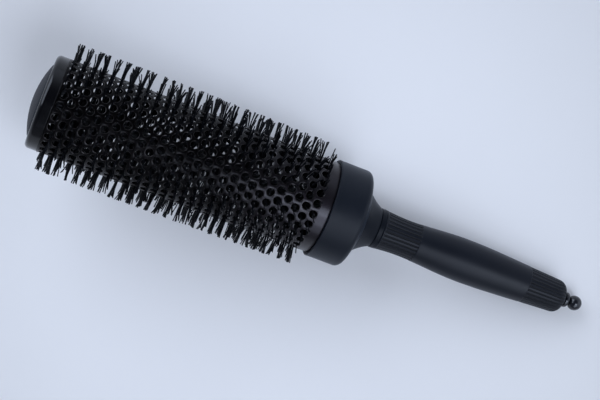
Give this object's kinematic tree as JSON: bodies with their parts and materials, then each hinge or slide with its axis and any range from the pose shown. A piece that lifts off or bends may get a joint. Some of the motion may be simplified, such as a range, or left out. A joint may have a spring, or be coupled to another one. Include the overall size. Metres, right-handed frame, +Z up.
{
  "type": "round barrel brush",
  "caption": "Round hair brush with a perforated thermal barrel, nylon bristles, soft-touch collar and grip, and a sectioning pick that pulls out of the handle.",
  "frame": {"origin": "on the brush's axis, at the front face of the collar, where the barrel comes out of it", "axes": "+X along the brush's axis towards the handle's end and the pick; +Z up when the brush lies on a table with its axis level; +Y completes the frame"},
  "size_m": [0.2706, 0.059, 0.059],
  "materials": {
    "barrel_metal": "satin",
    "bristle_nylon": "satin",
    "cap_plastic": "matte",
    "disc_plastic": "matte",
    "steel": "satin",
    "inner_plastic": "matte",
    "collar_soft_touch": "matte",
    "handle_plastic": "matte",
    "grip_rubber": "matte",
    "gloss_black": "gloss",
    "seal_rubber": "matte",
    "brass": "satin"
  },
  "bodies": {
    "brush": {"barrel": "barrel_metal", "bristle_bunch_1": "bristle_nylon", "bristle_bunch_2": "bristle_nylon", "bristle_bunch_3": "bristle_nylon", "bristle_bunch_4": "bristle_nylon", "bristle_bunch_5": "bristle_nylon", "bristle_bunch_6": "bristle_nylon", "end_cap": "cap_plastic", "tip_disc": "disc_plastic", "stem_rod": "steel", "stem_washer": "steel", "stem_nut": "steel", "barrel_plug": "inner_plastic", "collar": "collar_soft_touch", "neck_screws": "steel", "handle_core": "handle_plastic", "band_ring": "handle_plastic", "grip_sleeve": "grip_rubber", "pick_tube": "steel", "pick_ferrule": "gloss_black", "pick_o_ring": "seal_rubber"},
    "pick": {"pick_rod": "steel", "pick_stop": "brass", "pick_knob": "gloss_black"}
  },
  "joints": [
    {"name": "pick_slide", "type": "slide", "parent": "brush", "child": "pick", "axis": [1, 0, 0], "range_m": [0, 0.06]}
  ]
}
